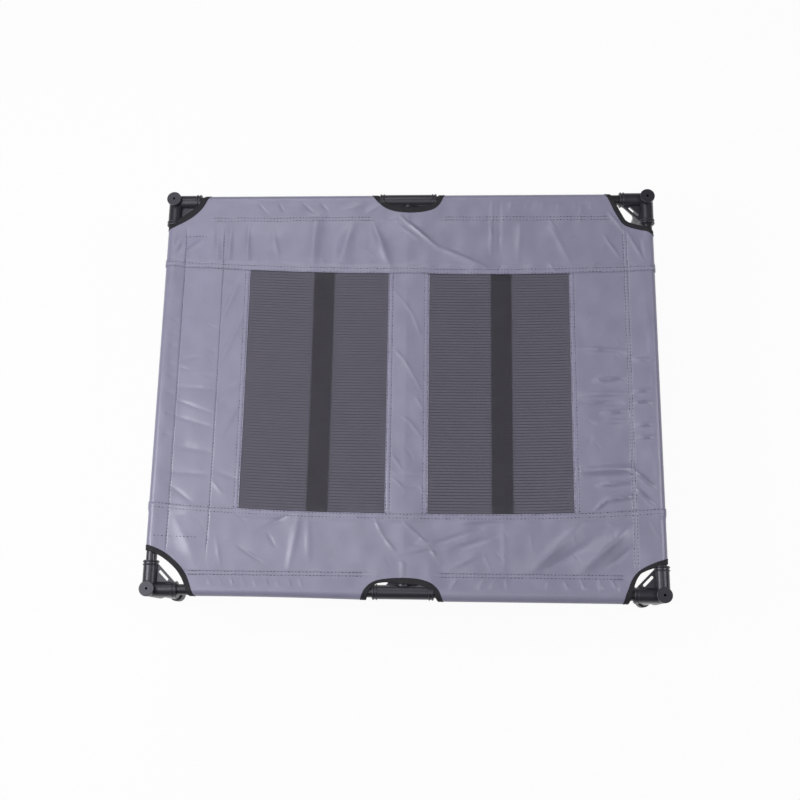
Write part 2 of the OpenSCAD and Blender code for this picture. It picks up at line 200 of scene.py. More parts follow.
# Small folds across the sleeves: from, to, pitch along the rail, then start and end across it
puckers = {
    "front left": {"along": (-340, -178, 20), "across": (-344, -357), "slant": 4, "width": 4, "height": 0.6},
    "rear right": {"along": (190, 370, 30), "across": (342, 357), "slant": 4, "width": 5, "height": 0.4},
}
# Short dents across the left sleeve
rungs = {"y": (165, 128, 100, 78, 42, 20, -12, -50, -90), "x": (-437, -423), "width": 4, "height": -0.7}
for pucker in puckers.values():
    start, end = pucker["across"]
    for x in np.arange(*pucker["along"]):
        folds.append((x, start, x + pucker["slant"], end, pucker["width"], pucker["height"]))
for y in rungs["y"]:
    folds.append((rungs["x"][0], y, rungs["x"][1], y, rungs["width"], rungs["height"]))

# Small creases of the handled cloth, at random
crinkles = {"count": 170, "reach": (430, 345), "length": (12, 42), "width": (2.2, 4.0),
            "height": (0.1, 0.34), "seed": 7}
chance = np.random.default_rng(crinkles["seed"])
for _ in range(crinkles["count"]):
    x, y = (chance.uniform(-reach, reach) for reach in crinkles["reach"])
    turn, length = chance.uniform(0, 2 * math.pi), chance.uniform(*crinkles["length"])
    width, sign = chance.uniform(*crinkles["width"]), chance.choice((-1, 1))
    height = sign * chance.uniform(*crinkles["height"])
    folds.append((x, y, x + length * math.cos(turn), y + length * math.sin(turn), width, height))

# How a fold is shaped, and how strongly folds show from place to place
crease = {
    "width": 0.72,          # share of the half widths above
    "reach": 3,             # half widths, past which a fold ends
    "fall": 1.6,            # how steeply its sides go down
    "round": 0.2,           # how round its crest is
    "narrow": 5,            # a fold of more than this half width
    "roundMore": 0.06,      # is rounder by this for each millimetre
    "ends": 0.35,           # share of its height at its ends
    "gain": (1.5, 2.7),     # times the heights above, on the left and elsewhere
    "gainFrom": (-300, 180),    # x and y where the first starts to become the second
    "gainRun": (200, 60),       # and the lengths over which it does
    "onNet": 0.25,          # share of the heights on the nets
    "onCentre": 0.8,        # and on the centre panel
    "run": 12,              # length over which these shares change, and folds begin by a rail
}
# Slow waves in slack cloth: length of the wave, direction in degrees, phase, height
waves = ((92, 20, 0.4, 0.19), (71, 105, 2.1, 0.17), (57, 64, 4.0, 0.11), (44, 150, 1.2, 0.09),
         (37, 12, 5.3, 0.07))
branch = {"radius": 13.7, "from": 312, "clear": 0.5}    # of the tees, under the cloth


def foldHeight(x, y):
    z = np.zeros_like(x)
    for x0, y0, x1, y1, width, height in folds:
        reach = crease["reach"] * width
        near = np.abs(x - (x0 + x1) / 2) < abs(x1 - x0) / 2 + reach
        near &= np.abs(y - (y0 + y1) / 2) < abs(y1 - y0) / 2 + reach
        if not near.any():
            continue
        px, py = x[near], y[near]
        dx, dy = x1 - x0, y1 - y0
        t = np.clip(((px - x0) * dx + (py - y0) * dy) / (dx * dx + dy * dy), 0, 1)
        away = np.hypot(px - x0 - t * dx, py - y0 - t * dy)
        soft = crease["round"] + crease["roundMore"] * max(width - crease["narrow"], 0)
        crest = np.exp(crease["fall"] * (soft - np.hypot(away / (crease["width"] * width), soft)))
        z[near] += height * (crease["ends"] + (1 - crease["ends"]) * np.sin(math.pi * t)) * crest
    for length, turn, phase, height in waves:
        along = x * math.cos(math.radians(turn)) + y * math.sin(math.radians(turn))
        z += height * np.sin(2 * math.pi * along / length + phase)
    return z


# Sewn rows draw the cloth down: rows at these distances from a rail, how deep, and their ends
sewnRows = {
    "left": {"at": (26, 98), "dip": -2.6, "from": -285, "to": 292},
    "right": {"at": (40.2, 46.2), "dip": -2.0, "from": -311, "to": 291},
    "front": {"at": (26.2, 32.2), "dip": -3.0, "from": 70, "to": 376},
    "rear": {"at": (35.2, 41.2), "dip": -1.5, "from": 70, "to": 373},
}
groove = {"depth": 0.6, "width": 1.0, "dipRun": 50, "crown": 5, "endRun": 28}
# Hems along the edges of bands and panels: rows from the edge, and a little puff between them
foldedHem = {"rows": (1.8, 8.8), "width": 10.2, "puff": 0.15, "step": 2, "fade": 6}


def rowsAlong(side, u, v):
    inward, along = {"left": (halfLength + u, v), "right": (halfLength - u, v),
                     "front": (halfWidth + v, np.abs(u)), "rear": (halfWidth - v, np.abs(u))}[side]
    start, end, run = sewnRows[side]["from"], sewnRows[side]["to"], groove["endRun"]
    return inward, smooth((along - start) / run + 1) * smooth((end - along) / run + 1)


# Heights that follow the sewing: dips at the sleeves' rows, and a groove under every row
def sewnHeight(u, v, grooves):
    z = np.zeros_like(u)
    for side, sewn in sewnRows.items():
        inward, ends = rowsAlong(side, u, v)
        first = sewn["at"][0]
        down = np.clip((inward - groove["crown"]) / (first - groove["crown"]), 0, 1)
        z += sewn["dip"] * ends * down * (1 - smooth((inward - first) / groove["dipRun"]))
        if grooves:
            for at in sewn["at"]:
                z -= groove["depth"] * ends * np.exp(-((inward - at) / groove["width"]) ** 2)
    return z


# A folded hem, by the distance from its edge
def hemHeight(edge):
    step = foldedHem["step"]
    z = foldedHem["puff"] * (1 - smooth((edge - foldedHem["width"] + step / 2) / step))
    for at in foldedHem["rows"]:
        z = z - groove["depth"] * np.exp(-((edge - at) / groove["width"]) ** 2)
    return z


# How far the cloth lies above or below its flat plane
def sagHeight(x, y):
    ax, ay = np.abs(x), np.abs(y)
    t = np.clip(ax / halfLength, 0, 1)
    w = np.clip(ay / halfWidth, 0, 1)
    bay = cover["barSag"] * (1 - t * t) + (1 - cover["barSag"]) * 4 * t * (1 - t)
    sag = -cover["sag"] * bay * (1 - w * w) ** cover["sagPower"]
    run = crease["run"]
    fromRail = np.minimum(halfLength - ax, halfWidth - ay)
    onPanels = smooth((ax - meshOuter + run) / run) + smooth((ay - seamY + run) / run)
    onCentre = smooth((meshInner + run - ax) / run)
    share = np.clip(onPanels + crease["onCentre"] * onCentre, crease["onNet"], 1)
    grown = [smooth((place - start) / length)
             for place, start, length in zip((x, y), crease["gainFrom"], crease["gainRun"])]
    low, high = crease["gain"]
    gain = low + (high - low) * np.maximum(*grown)
    return sag + gain * foldHeight(x, y) * share * smooth(fromRail / run)


# The cloth rests on the crossbar and on the tees' branches
def restOn(x, y, z):
    clear = branch["clear"] + cover["cloth"] / 2
    overBar = np.sqrt(np.maximum(tubeR ** 2 - x * x, 0)) + barZ + clear - flatZ
    overBranch = np.sqrt(np.maximum(branch["radius"] ** 2 - x * x, 0)) + barZ + clear - flatZ
    rest = np.where(np.abs(y) > branch["from"], overBranch, overBar)
    return np.where(np.abs(x) < branch["radius"], np.maximum(z, rest), z)


# From the cut cloth to the cot, at a height above the middle of the cloth
def layCover(u, v, height=0.0):
    u, v = np.asarray(u, float), np.asarray(v, float)
    dx, dy = drift(u, v)
    x, y = u + dx, v + dy
    rise, share = np.full_like(x, wrapR), np.ones_like(x)
    nx, ny, nz = np.zeros_like(x), np.zeros_like(x), np.ones_like(x)
    for side, along, edge in (("front", -v, halfWidth), ("rear", v, halfWidth),
                              ("left", -u, halfLength), ("right", u, halfLength)):
        past = along > edge
        if not past.any():
            continue
        inward, up, onRun, normalIn, normalUp = wrapRound(along[past] - edge, side)
        if side == "front":
            grown = smooth((u[past] - cover["looseFrom"]) / cover["looseRun"])
            inward = inward - cover["loose"] * grown * np.clip(-normalIn, 0, 1)
        rise[past], share[past], nz[past] = up, onRun, normalUp
        sign = outward[side]
        if side in ("front", "rear"):
            y[past], ny[past] = sign * (halfWidth - inward), -sign * normalIn
        else:
            x[past], nx[past] = sign * (halfLength - inward), -sign * normalIn
    onTop = (np.abs(u) <= halfLength) & (np.abs(v) <= halfWidth)
    z = sagHeight(x, y) + np.where(onTop, sewnHeight(u, v, True), sewnHeight(x, y, False))
    z = railZ + rise + share * restOn(x, y, z)
    return np.column_stack([x + nx * height, y + ny * height, z + nz * height]) * mm


def bandLift(u, v):
    edge = np.abs(v) - seamY
    lap = smooth((cover["lap"] + cover["lapRun"] - edge) / cover["lapRun"])
    return cover["lapLift"] * lap + hemHeight(edge)


def panelLift(u, v):
    edge = np.where(np.abs(u) < meshInner + 1, meshInner - np.abs(u), np.abs(u) - meshOuter)
    return hemHeight(edge) * smooth((seamY - np.abs(v)) / foldedHem["fade"])


# Height of the upper side's layer: bands lie over panels
def topLift(u, v):
    return np.where(np.abs(v) >= seamY - 0.01, bandLift(u, v), panelLift(u, v))


# Edges of the cut-outs on the cut cloth: at a corner by the distances from it along the long and the
# short rail, at a grip by the place along the rail and the distance into the cot. The tape's width
# changes along the edge by the shares given
cutOuts = {
    "front_left": {
        "edge": ((82.5, -10.4), (79, -6.5), (76, 0), (71.5, 12.6), (64.6, 26.1), (56.4, 38.1), (46.4, 48),
                 (35.4, 56.8), (23.6, 64.8), (10, 71.2), (0, 74.4), (-6, 76), (-10.4, 76.5)),
        "tape": (0.97, 0.97),
    },
    "rear_left": {
        "edge": ((70, -10.4), (66.2, -5.8), (62.3, 0), (57.7, 10.2), (51, 20.6), (42.8, 28.9), (34.6, 35.8),
                 (26, 41.5), (17.1, 47), (7.3, 51.8), (0, 56), (-5.1, 58.3), (-10.4, 61)),
        "tape": (1, 1.4, 1),
    },
    "rear_right": {
        "edge": ((79, -10.4), (76.4, -6.7), (72.2, 0), (66.7, 11.8), (61.5, 24.8), (55.3, 37.3),
                 (48.6, 50.3), (42.8, 54.8), (36.2, 57.9), (29.4, 60.3), (15.9, 63.8), (0, 67.3),
                 (-6.4, 72.6), (-10.4, 75)),
        "tape": (0.95, 0.95),
    },
    "front_right": {
        "edge": ((69, -10.4), (66.5, -5.8), (63.7, 0), (59.2, 10.4), (54.6, 22.1), (48.3, 32.6),
                 (39.8, 41.2), (29.6, 47.4), (19, 52.3), (8, 56.9), (0, 59.3), (-5.4, 61.3), (-10.4, 63)),
        "tape": (1, 0.55, 1),
    },
}
grips = {
    "front": {
        "edge": ((-74.6, -10.4), (-72.8, -7), (-68.9, 1), (-66.4, 5), (-62, 10), (-56, 15), (-48, 19.1),
                 (-36, 21.6), (-18, 23.7), (0, 24.4), (18, 23.7), (30, 22.2), (42, 18.8), (50.5, 15),
                 (56.5, 10), (60.7, 5), (63.7, 1), (67.8, -7), (70.5, -10.4)),
        "tape": (1.5, 1.0, 0.72, 0.8, 1.2, 1.5, 1.5, 1.45, 1.35, 1.3, 1.3),
    },
    "rear": {
        "edge": ((-70, -10.4), (-67.5, -7), (-61.8, 1), (-57.9, 5), (-52.4, 10), (-46.9, 15), (-36, 20.9),
                 (-24, 24.6), (-12, 26.4), (0, 27.4), (12, 27.2), (24, 26.2), (36, 23.7), (48, 20.4),
                 (55.1, 15), (59.5, 10), (62.6, 5), (64.5, 1), (68, -7), (69.5, -10.4)),
        "tape": (1, 1),
    },
}


def dense(points, step):
    path = []
    for start, end in zip(points, points[1:]):
        start, end = np.array(start, float), np.array(end, float)
        count = max(1, math.ceil(np.linalg.norm(end - start) / step))
        path += [start + (end - start) * k / count for k in range(count)]
    return np.array(path + [np.array(points[-1], float)])


def softened(path, rounds=4):
    for _ in range(rounds):
        path[1:-1] = (path[:-2] + 2 * path[1:-1] + path[2:]) / 4
    return path


def sideNormals(path, turn):
    step = np.gradient(path, axis=0)
    step /= np.linalg.norm(step, axis=1)[:, None]
    return turn * np.column_stack([-step[:, 1], step[:, 0]])


# Places outside a rail's axis become lengths of cloth round the rail
def unrolled(place):
    place = np.asarray(place, float)
    return np.where(place < 0, wrapR * np.arcsin(np.clip(place / wrapR, -1, 0)), place)


def tapeShare(shares, way):
    return np.interp(way, np.linspace(0, 1, len(shares)), shares)[:, None]


# From the long rail's hem round the corner to the short rail's hem
def cornerEdge(corner, inset, share=1.0, step=3):
    end, side = corner.split("_")
    cut = cutOuts[corner]
    edge = unrolled(cut["edge"])
    longEnd, shortEnd = share * sleeveLength(end), share * sleeveLength(side)
    path = softened(dense([(edge[0][0], -longEnd), *edge, (-shortEnd, edge[-1][1])], step))
    way = np.arctan2(path[:, 1], path[:, 0]) / (math.pi / 2)
    path = path + sideNormals(path, 1) * inset * tapeShare(cut["tape"], way)
    signs = np.array([outward[side], outward[end]])
    return (np.array([halfLength, halfWidth]) - path) * signs


# From the left hem round the grip to the right hem
def gripEdge(end, inset, share=1.0, step=3):
    grip = grips[end]
    x, depth = np.array(grip["edge"], float).T
    hemAt = -share * sleeveLength(end)
    path = softened(dense([(x[0], hemAt), *zip(x, unrolled(depth)), (x[-1], hemAt)], step))
    way = (path[:, 0] - x[0]) / (x[-1] - x[0])
    path = path + sideNormals(path, -1) * inset * tapeShare(grip["tape"], way)
    return np.column_stack([path[:, 0], outward[end] * (halfWidth - path[:, 1])])


# Meshes from cut cloth


def linkPiece(name, data):
    piece = bpy.data.objects.new(name, data)
    bpy.context.scene.collection.objects.link(piece)
    return piece


# Patterns follow the places on the cut cloth
def mapCut(mesh, cut):
    layer = mesh.uv_layers.new(name="cut")
    loops = np.zeros(len(mesh.loops), int)
    mesh.loops.foreach_get("vertex_index", loops)
    layer.data.foreach_set("uv", (np.asarray(cut)[loops] * mm).ravel())


def newPiece(name, points, faces, cut=None):
    mesh = bpy.data.meshes.new(name)
    mesh.from_pydata([tuple(point) for point in points], [], faces)
    if cut is not None:
        mapCut(mesh, cut)
    return linkPiece(name, mesh)


# Turns modifiers into a plain mesh
def bakePiece(piece, sharpAngle=50):
    graph = bpy.context.evaluated_depsgraph_get()
    graph.update()
    made = piece.evaluated_get(graph)
    mesh = bpy.data.meshes.new_from_object(made, preserve_all_data_layers=True, depsgraph=graph)
    name = piece.name
    if piece.type != "MESH":
        bpy.data.objects.remove(piece)
        piece = linkPiece(name, mesh)
    else:
        piece.modifiers.clear()
        piece.data = mesh
    mesh.name = name
    mesh.shade_smooth()
    mesh.set_sharp_from_angle(angle=math.radians(sharpAngle))
    return piece


def thicken(piece, thickness):
    solidify = piece.modifiers.new("thickness", "SOLIDIFY")
    solidify.thickness = thickness * mm
    solidify.offset = 0
    solidify.use_even_offset = True
    return bakePiece(piece)


def insideOutline(points, outline):
    x, y = points.T
    inside = np.zeros(len(points), bool)
    ax, ay = outline[-1]
    for bx, by in outline:
        if ay != by:
            crosses = (ay > y) != (by > y)
            inside ^= crosses & (x < (bx - ax) * (y - ay) / (by - ay) + ax)
        ax, ay = bx, by
    return inside


grid = {
    "step": 2.6,        # size of the cloth's faces
    "bySeam": (-2.2, -1.1, -0.5, 0, 0.5, 1.1, 2.2),     # lines at each sewn row
    "closest": 0.4,     # these lines stay this far apart
    "fromEnd": 0.3,     # and this far from the ends
    "apart": 1.2,       # and other lines this far from them
    "wrapStep": 2.2,    # size of the faces round a rail
    "wrapTo": 42,       # up to this length past its crown
    "belowFrom": 44,    # and from here
    "belowStep": 6,     # larger ones
    "fromEdge": 1.6,    # no points nearer to the outline
    "stripStep": 6,     # size of the faces of straps and closure tapes
}


# Lines of the cloth's grid, closer together by the sewn rows
def gridLines(low, high, rail, sewnAt):
    flat = np.arange(math.ceil(max(low, -rail)), min(high, rail), grid["step"])
    close = np.sort(np.concatenate([np.asarray(sewnAt) + step for step in grid["bySeam"]]))
    close = close[np.concatenate([[True], np.diff(close) > grid["closest"]])]
    close = close[(close > low + grid["fromEnd"]) & (close < high - grid["fromEnd"])]
    apart = [np.abs(close - line).min() > grid["apart"] if len(close) else True for line in flat]
    lines = [flat[apart], close]
    for sign, reach in ((1, high - rail), (-1, -low - rail)):
        if reach > 0:
            turn = np.arange(0, min(reach, grid["wrapTo"]), grid["wrapStep"])
            below = np.arange(grid["belowFrom"], reach, grid["belowStep"])
            lines.append(sign * (rail + np.concatenate([turn, below])))
    return np.concatenate(lines)


hemLines = (*foldedHem["rows"], foldedHem["width"])
sewnLines = {
    "u": [outward[side] * (halfLength - at) for side in ("left", "right") for at in sewnRows[side]["at"]]
    + [side * (meshOuter + at) for side in (-1, 1) for at in hemLines]
    + [side * (meshInner - at) for side in (-1, 1) for at in hemLines],
    "v": [outward[side] * (halfWidth - at) for side in ("front", "rear") for at in sewnRows[side]["at"]]
    + [side * (seamY + at) for side in (-1, 1) for at in hemLines],
}


# Cloth cut to an outline, laid on the cot and given its thickness
def clothPiece(name, outline, lift):
    low, high = outline.min(axis=0), outline.max(axis=0)
    us = gridLines(low[0], high[0], halfLength, sewnLines["u"])
    vs = gridLines(low[1], high[1], halfWidth, sewnLines["v"])
    lattice = np.stack(np.meshgrid(us, vs), axis=-1).reshape(-1, 2)
    lattice = lattice[insideOutline(lattice, outline)]
    tree = kdtree.KDTree(len(outline))
    for index, (u, v) in enumerate(outline):
        tree.insert((u, v, 0), index)
    tree.balance()
    keep = [tree.find((u, v, 0))[2] > grid["fromEdge"] for u, v in lattice]
    points = np.vstack([outline, lattice[keep]])
    found = delaunay_2d_cdt([Vector(p) for p in points], [], [list(range(len(outline)))], 1, 1e-5)
    cut = np.array([tuple(p) for p in found[0]])
    piece = newPiece(name, layCover(*cut.T, lift(*cut.T)), found[2], cut)
    return thicken(piece, cover["cloth"])


def gridFaces(wide, deep):
    return [(j * wide + i, j * wide + i + 1, (j + 1) * wide + i + 1, (j + 1) * wide + i)
            for j in range(deep - 1) for i in range(wide - 1)]


# A strip in the place of a node, with its width and length in metres
def stripPiece(name, node, height, thickness, shift=0.0):
    low, high = nodeBox(node)
    ends = ((low[0] - shift, high[0] - shift), (low[1], high[1]))
    us, vs = (np.linspace(a, b, max(2, round((b - a) / grid["stripStep"])) + 1) for a, b in ends)
    cut = np.stack(np.meshgrid(us, vs), axis=-1).reshape(-1, 2)
    piece = newPiece(name, layCover(*cut.T, height), gridFaces(len(us), len(vs)), cut)
    return thicken(piece, thickness), (high[0] - low[0]) * mm, (high[1] - low[1]) * mm


# Materials


def linear(red, green, blue):
    parts = [c / 255 for c in (red, green, blue)]
    return tuple(c / 12.92 if c < 0.04 else ((c + 0.055) / 1.055) ** 2.4 for c in parts) + (1.0,)


def addNode(tree, kind, settings=None, **inputs):
    node = tree.nodes.new(kind)
    for key, value in (settings or {}).items():
        setattr(node, key, value)
    for key, value in inputs.items():
        socket = node.inputs[int(key[1:])] if key[1:].isdigit() else node.inputs[key.replace("_", " ")]
        if isinstance(value, bpy.types.NodeSocket):
            tree.links.new(value, socket)
        else:
            socket.default_value = value
    return node


def nodeOut(tree, kind, settings=None, **inputs):
    return addNode(tree, kind, settings, **inputs).outputs[0]


def calc(tree, operation, a, b=0.0):
    return nodeOut(tree, "ShaderNodeMath", {"operation": operation}, i0=a, i1=b)


def newTree(name, kind, inputs, outputs):
    tree = bpy.data.node_groups.new(name, kind)
    for way, sockets in (("INPUT", inputs), ("OUTPUT", outputs)):
        for label, holds in sockets.items():
            tree.interface.new_socket(label, in_out=way, socket_type="NodeSocket" + holds)
    return tree, tree.nodes.new("NodeGroupInput").outputs, tree.nodes.new("NodeGroupOutput").inputs


slub = (0.05, 0.5)      # thick and thin places, along a thread and across it


# Threads over and under each other, with thick and thin places
def weaveGroup():
    tree, given, result = newTree("weave", "ShaderNodeTree",
                                  {"Vector": "Vector", "Across": "Float", "Along": "Float"},
                                  {"Height": "Float", "Tone": "Float"})
    part = addNode(tree, "ShaderNodeSeparateXYZ", Vector=given["Vector"]).outputs
    across = calc(tree, "MULTIPLY", part["X"], given["Across"])
    along = calc(tree, "MULTIPLY", part["Y"], given["Along"])
    over = calc(tree, "MULTIPLY", calc(tree, "SINE", across), calc(tree, "SINE", along))
    tones = []
    for a, b in (slub, slub[::-1]):
        stretched = nodeOut(tree, "ShaderNodeCombineXYZ", X=calc(tree, "MULTIPLY", across, a),
                            Y=calc(tree, "MULTIPLY", along, b))
        tones.append(nodeOut(tree, "ShaderNodeTexNoise", Vector=stretched, Scale=1.0, Detail=2.0))
    tone = calc(tree, "MULTIPLY", calc(tree, "ADD", *tones), 0.5)
    height = calc(tree, "ADD", calc(tree, "MULTIPLY", over, 0.5), tone)
    tree.links.new(height, result["Height"])
    tree.links.new(tone, result["Tone"])
    return tree


patches = {"scale": 38.0, "dustScale": 420.0, "dustFrom": 0.62, "dustTo": 0.78}


# Fine grain, with slow patches of gloss and a little dust
def grainGroup():
    tree, given, result = newTree("grain", "ShaderNodeTree", {"Vector": "Vector", "Fineness": "Float"},
                                  {"Height": "Float", "Patch": "Float", "Dust": "Float"})
    spot = given["Vector"]
    fine = nodeOut(tree, "ShaderNodeTexNoise", Vector=spot, Scale=given["Fineness"], Detail=3.0,
                   Roughness=0.6)
    patch = nodeOut(tree, "ShaderNodeTexNoise", Vector=spot, Scale=patches["scale"], Detail=3.0)
    dust = nodeOut(tree, "ShaderNodeTexNoise", Vector=spot, Scale=patches["dustScale"], Detail=4.0)
    specks = nodeOut(tree, "ShaderNodeMapRange", Value=dust, i1=patches["dustFrom"],
                     i2=patches["dustTo"])
    tree.links.new(fine, result["Height"])
    tree.links.new(patch, result["Patch"])
    tree.links.new(specks, result["Dust"])
    return tree


weave, grain = weaveGroup(), grainGroup()


def newMaterial(name, **fixed):
    material = bpy.data.materials.new(name)
    material.use_nodes = True
    tree = material.node_tree
    shader = tree.nodes["Principled BSDF"]
    for key, value in fixed.items():
        shader.inputs[key.replace("_", " ")].default_value = value
    return material, tree, shader


def between(tree, factor, low, high):
    return nodeOut(tree, "ShaderNodeMapRange", Value=factor, i3=low, i4=high)


def blendColour(tree, factor, low, high):
    return addNode(tree, "ShaderNodeMix", {"data_type": "RGBA"}, i0=factor, i6=low, i7=high).outputs[2]


def shaded(colour, share):
    return (*[share * part for part in colour[:3]], 1.0)


def addBump(tree, shader, height, distance, strength):
    bump = addNode(tree, "ShaderNodeBump", Height=height, Distance=distance * mm, Strength=strength)
    tree.links.new(bump.outputs[0], shader.inputs["Normal"])


# Colours of the thin and thick threads, thread pitch across and along in mm, gloss and bump. The net's
# yarn also lets light through, and its ribs are drawn in the dark thread colour as painted shade of the ribs
fabrics = {
    "coverCloth": {"dark": (139, 137, 159), "light": (157, 155, 179), "pitch": (0.9, 0.9),
                   "rough": (0.28, 0.4), "bump": (0.1, 0.3), "gloss": 0.8},
    "netYarn": {"dark": (45, 44, 48), "light": (61, 60, 65), "pitch": (1.325, 1.325),
                "rough": (0.42, 0.6), "bump": (0.06, 0.4),
                "through": (0.345, 0.336, 0.385), "ribShade": 1.02},
    "strapWebbing": {"dark": (44, 44, 47), "light": (64, 64, 68), "pitch": (1.6, 2.4),
                     "rough": (0.55, 0.75), "sheen": 0.1, "bump": (0.35, 0.7)},
    "closurePile": {"dark": (34, 34, 37), "light": (58, 58, 62), "pitch": (0.7, 0.7),
                    "rough": (0.8, 0.95), "sheen": 0.3, "bump": (0.5, 0.8)},
    "bindingTape": {"dark": (30, 29, 33), "light": (46, 45, 50), "pitch": (1.0, 0.6),
                    "rough": (0.55, 0.72), "bump": (0.15, 0.6)},
    "sewingThread": {"dark": (52, 50, 60), "light": (70, 68, 80), "pitch": (0.5, 0.5),
                     "rough": (0.45, 0.6), "bump": (0.05, 0.3)},
}
fading = {"scale": 22.0, "share": 0.35, "threads": 0.65, "tones": (0.3, 0.7)}


def fabricMaterial(name, dark, light, pitch, rough, bump, sheen=0.0, gloss=0.35, through=None,
                   ribShade=1.0):
    material, tree, shader = newMaterial(name, Sheen_Weight=sheen, Specular_IOR_Level=gloss)
    places = addNode(tree, "ShaderNodeTexCoord").outputs
    spot = places["Object"] if name == "sewingThread" else places["UV"]
    across, along = (2 * math.pi / (step * mm) for step in pitch)
    threads = addNode(tree, "ShaderNodeGroup", {"node_tree": weave}, Vector=spot, Across=across,
                      Along=along).outputs
    faded = nodeOut(tree, "ShaderNodeTexNoise", Vector=spot, Scale=fading["scale"], Detail=3.0)
    tone = calc(tree, "ADD", calc(tree, "MULTIPLY", threads["Tone"], fading["threads"]),
                calc(tree, "MULTIPLY", faded, fading["share"]))
    low, high = fading["tones"]
    spread = nodeOut(tree, "ShaderNodeMapRange", Value=tone, i1=low, i2=high)
    colour = blendColour(tree, spread, linear(*dark), linear(*light))
    if through:
        # On the ribs the yarn takes its dark colour, a painted shade that stands in for the ribs' shading;
        # the light it passes there is scaled by the same share
        rib = addNode(tree, "ShaderNodeAttribute", {"attribute_name": "rib"}).outputs["Fac"]
        colour = blendColour(tree, rib, colour, shaded(linear(*dark), ribShade))
        passing = blendColour(tree, rib, shaded(through, 1.0), shaded(through, ribShade))
        passed = nodeOut(tree, "ShaderNodeBsdfTranslucent", Color=passing)
        both = nodeOut(tree, "ShaderNodeAddShader", i0=shader.outputs[0], i1=passed)
        tree.links.new(both, tree.nodes["Material Output"].inputs["Surface"])
    tree.links.new(colour, shader.inputs["Base Color"])
    tree.links.new(between(tree, threads["Tone"], *rough), shader.inputs["Roughness"])
    addBump(tree, shader, threads["Height"], *bump)
    return material


finishes = {    # colour, dusty colour, grain per metre, gloss, bump, coat
    "connectorPlastic": {"colour": (43, 42, 48), "dust": (96, 94, 102), "fineness": 1400,
                         "rough": (0.3, 0.4), "bump": (0.06, 0.25)},
    "footPlastic": {"colour": (33, 33, 35), "dust": (88, 86, 90), "fineness": 1100,
                    "rough": (0.38, 0.5), "bump": (0.08, 0.3)},
    "tubePaint": {"colour": (34, 34, 37), "dust": (80, 78, 84), "fineness": 900,
                  "rough": (0.26, 0.38), "bump": (0.05, 0.3), "coat": 0.15},
}
hardGloss = {"Coat_Roughness": 0.2, "Specular_IOR_Level": 0.8, "Specular_Tint": (0.92, 0.9, 1.0, 1.0)}
dustShare = 0.25


def hardMaterial(name, colour, dust, fineness, rough, bump, coat=0.0):
    material, tree, shader = newMaterial(name, Coat_Weight=coat, **hardGloss)
    spot = addNode(tree, "ShaderNodeTexCoord").outputs["Object"]
    surface = addNode(tree, "ShaderNodeGroup", {"node_tree": grain}, Vector=spot, Fineness=fineness).outputs
    specks = calc(tree, "MULTIPLY", surface["Dust"], dustShare)
    tree.links.new(blendColour(tree, specks, linear(*colour), linear(*dust)), shader.inputs["Base Color"])
    tree.links.new(between(tree, surface["Patch"], *rough), shader.inputs["Roughness"])
    addBump(tree, shader, surface["Height"], *bump)
    return material


materials = {name: fabricMaterial(name, **look) for name, look in fabrics.items()}
materials.update({name: hardMaterial(name, **look) for name, look in finishes.items()})


def dress(piece, material):
    piece.data.materials.clear()
    piece.data.materials.append(materials[material])


for name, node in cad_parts.items():
    if name.startswith(("corner_", "tee_")):
        dress(node, "connectorPlastic")
    elif name.startswith("foot_"):
        dress(node, "footPlastic")
    elif name.startswith("leg_") or name.endswith(("_rail", "_crossbar")) or "_rail_" in name:
        dress(node, "tubePaint")
print("materials:", len(materials))

# Cloth pieces


def settle(piece, material, slot, *nodes):
    dress(piece, material)
    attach(piece, "frame")
    if nodes:
        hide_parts(*nodes)
    return piece


tape = {
    "corner": 9.5,      # width on a corner's cut-out
    "front": 7.2,       # and on each grip
    "rear": 11,
    "hidden": 3,        # how far the cloth goes into the folded tape
    "thickness": 0.5,
    "rise": 0.65,       # from the middle of the cloth to the tape
    "share": 0.84,      # share of the sleeves' length that is bound
    "flat": (0, 0.35, 0.7),                         # shares of the width where it lies flat
    "turn": ((0.7, 1), (0.2, 0.6), (0, 0)),         # then distances from its end, and shares of the rise
    "threadStep": 1.7,  # width on the weave of each part of the section
}


def bandOutline(end):
    inset, gripInset = tape["corner"] - tape["hidden"], tape[end] - tape["hidden"]
    seam = [(outward[side] * (halfLength + sleeveLength(side)), outward[end] * seamY)
            for side in ("left", "right")]
    edge = [*seam, *cornerEdge(end + "_right", inset)[::-1],
            *gripEdge(end, gripInset)[::-1], *cornerEdge(end + "_left", inset)]
    outline = dense(edge + [edge[0]], grid["step"])[:-1]
    return outline if end == "rear" else outline[::-1]


def rectangle(u0, u1, v0, v1):
    return dense([(u0, v0), (u1, v0), (u1, v1), (u0, v1), (u0, v0)], grid["step"])[:-1]


under = seamY + cover["lap"]    # panels and nets go this far under the bands
cuts = {
    "frontBandCloth": (bandOutline("front"), bandLift, "front_band", ["front_rail_left", "front_rail_right"]),
    "rearBandCloth": (bandOutline("rear"), bandLift, "rear_band", ["rear_rail_left", "rear_rail_right"]),
    "leftPanelCloth": (rectangle(-halfLength - sleeveLength("left"), -meshOuter, -under, under), panelLift,
                       "left_end_panel", ["left_rail"]),
    "rightPanelCloth": (rectangle(meshOuter, halfLength + sleeveLength("right"), -under, under), panelLift,
                        "right_end_panel", ["right_rail"]),
    "centrePanelCloth": (rectangle(-meshInner, meshInner, -under, under), panelLift, "centre_panel", []),
}
for name, (outline, lift, node, rests) in cuts.items():
    piece = settle(clothPiece(name, outline, lift), "coverCloth", "cover_cloth", node)
    print("cloth:", name, len(piece.data.polygons), "faces")

# Webbing and closure tapes under the cover

